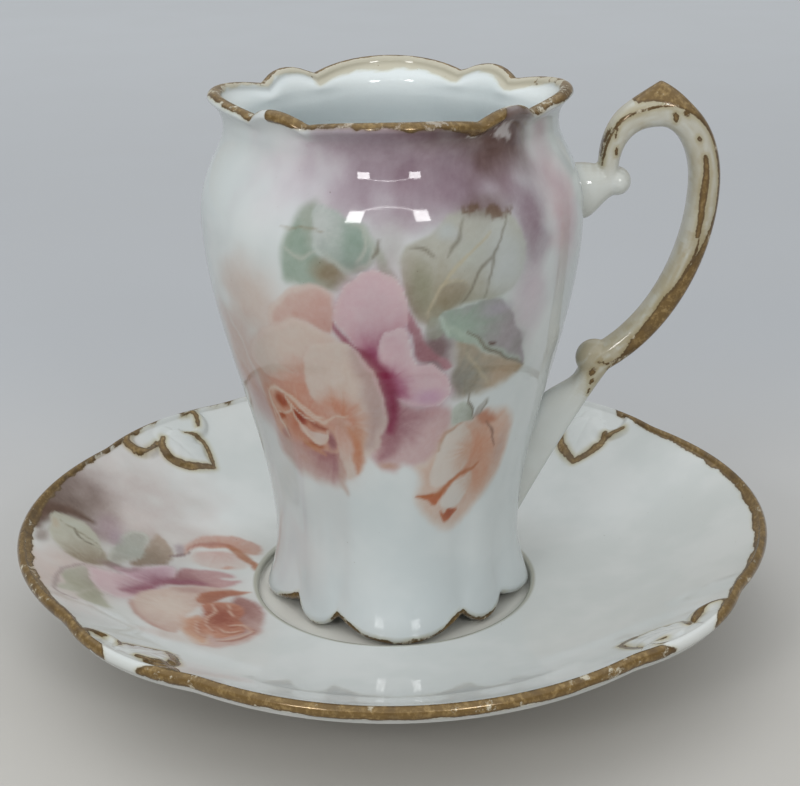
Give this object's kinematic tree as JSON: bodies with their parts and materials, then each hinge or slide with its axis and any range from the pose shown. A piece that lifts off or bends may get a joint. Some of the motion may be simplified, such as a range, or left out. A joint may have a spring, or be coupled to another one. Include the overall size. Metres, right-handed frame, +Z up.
{
  "type": "chocolate cup and saucer",
  "caption": "Tall lobed porcelain chocolate cup with a gilt scroll handle and painted roses, standing in the sunk well of a lobed saucer; the cup lifts off.",
  "frame": {"origin": "centre of the saucer's foot ring on the surface it stands on", "axes": "+Z up, +X from the cup's axis towards its handle"},
  "size_m": [0.1212, 0.1212, 0.0887],
  "materials": {
    "saucer_glaze": "white porcelain under a clear glaze, with worn gilding on the rim and painted roses",
    "cup_glaze": "white porcelain under a clear glaze, with worn gilding on lip and foot and painted roses",
    "handle_glaze": "white porcelain under a clear glaze, with worn gilding along its edges"
  },
  "bodies": {
    "saucer": {"saucer": "saucer_glaze"},
    "cup": {"cup_body": "cup_glaze", "cup_handle": "handle_glaze"}
  },
  "joints": [
    {"name": "cup_lift", "type": "slide", "parent": "saucer", "child": "cup", "axis": [0, 0, 1], "range_m": [0, 0.08]}
  ]
}
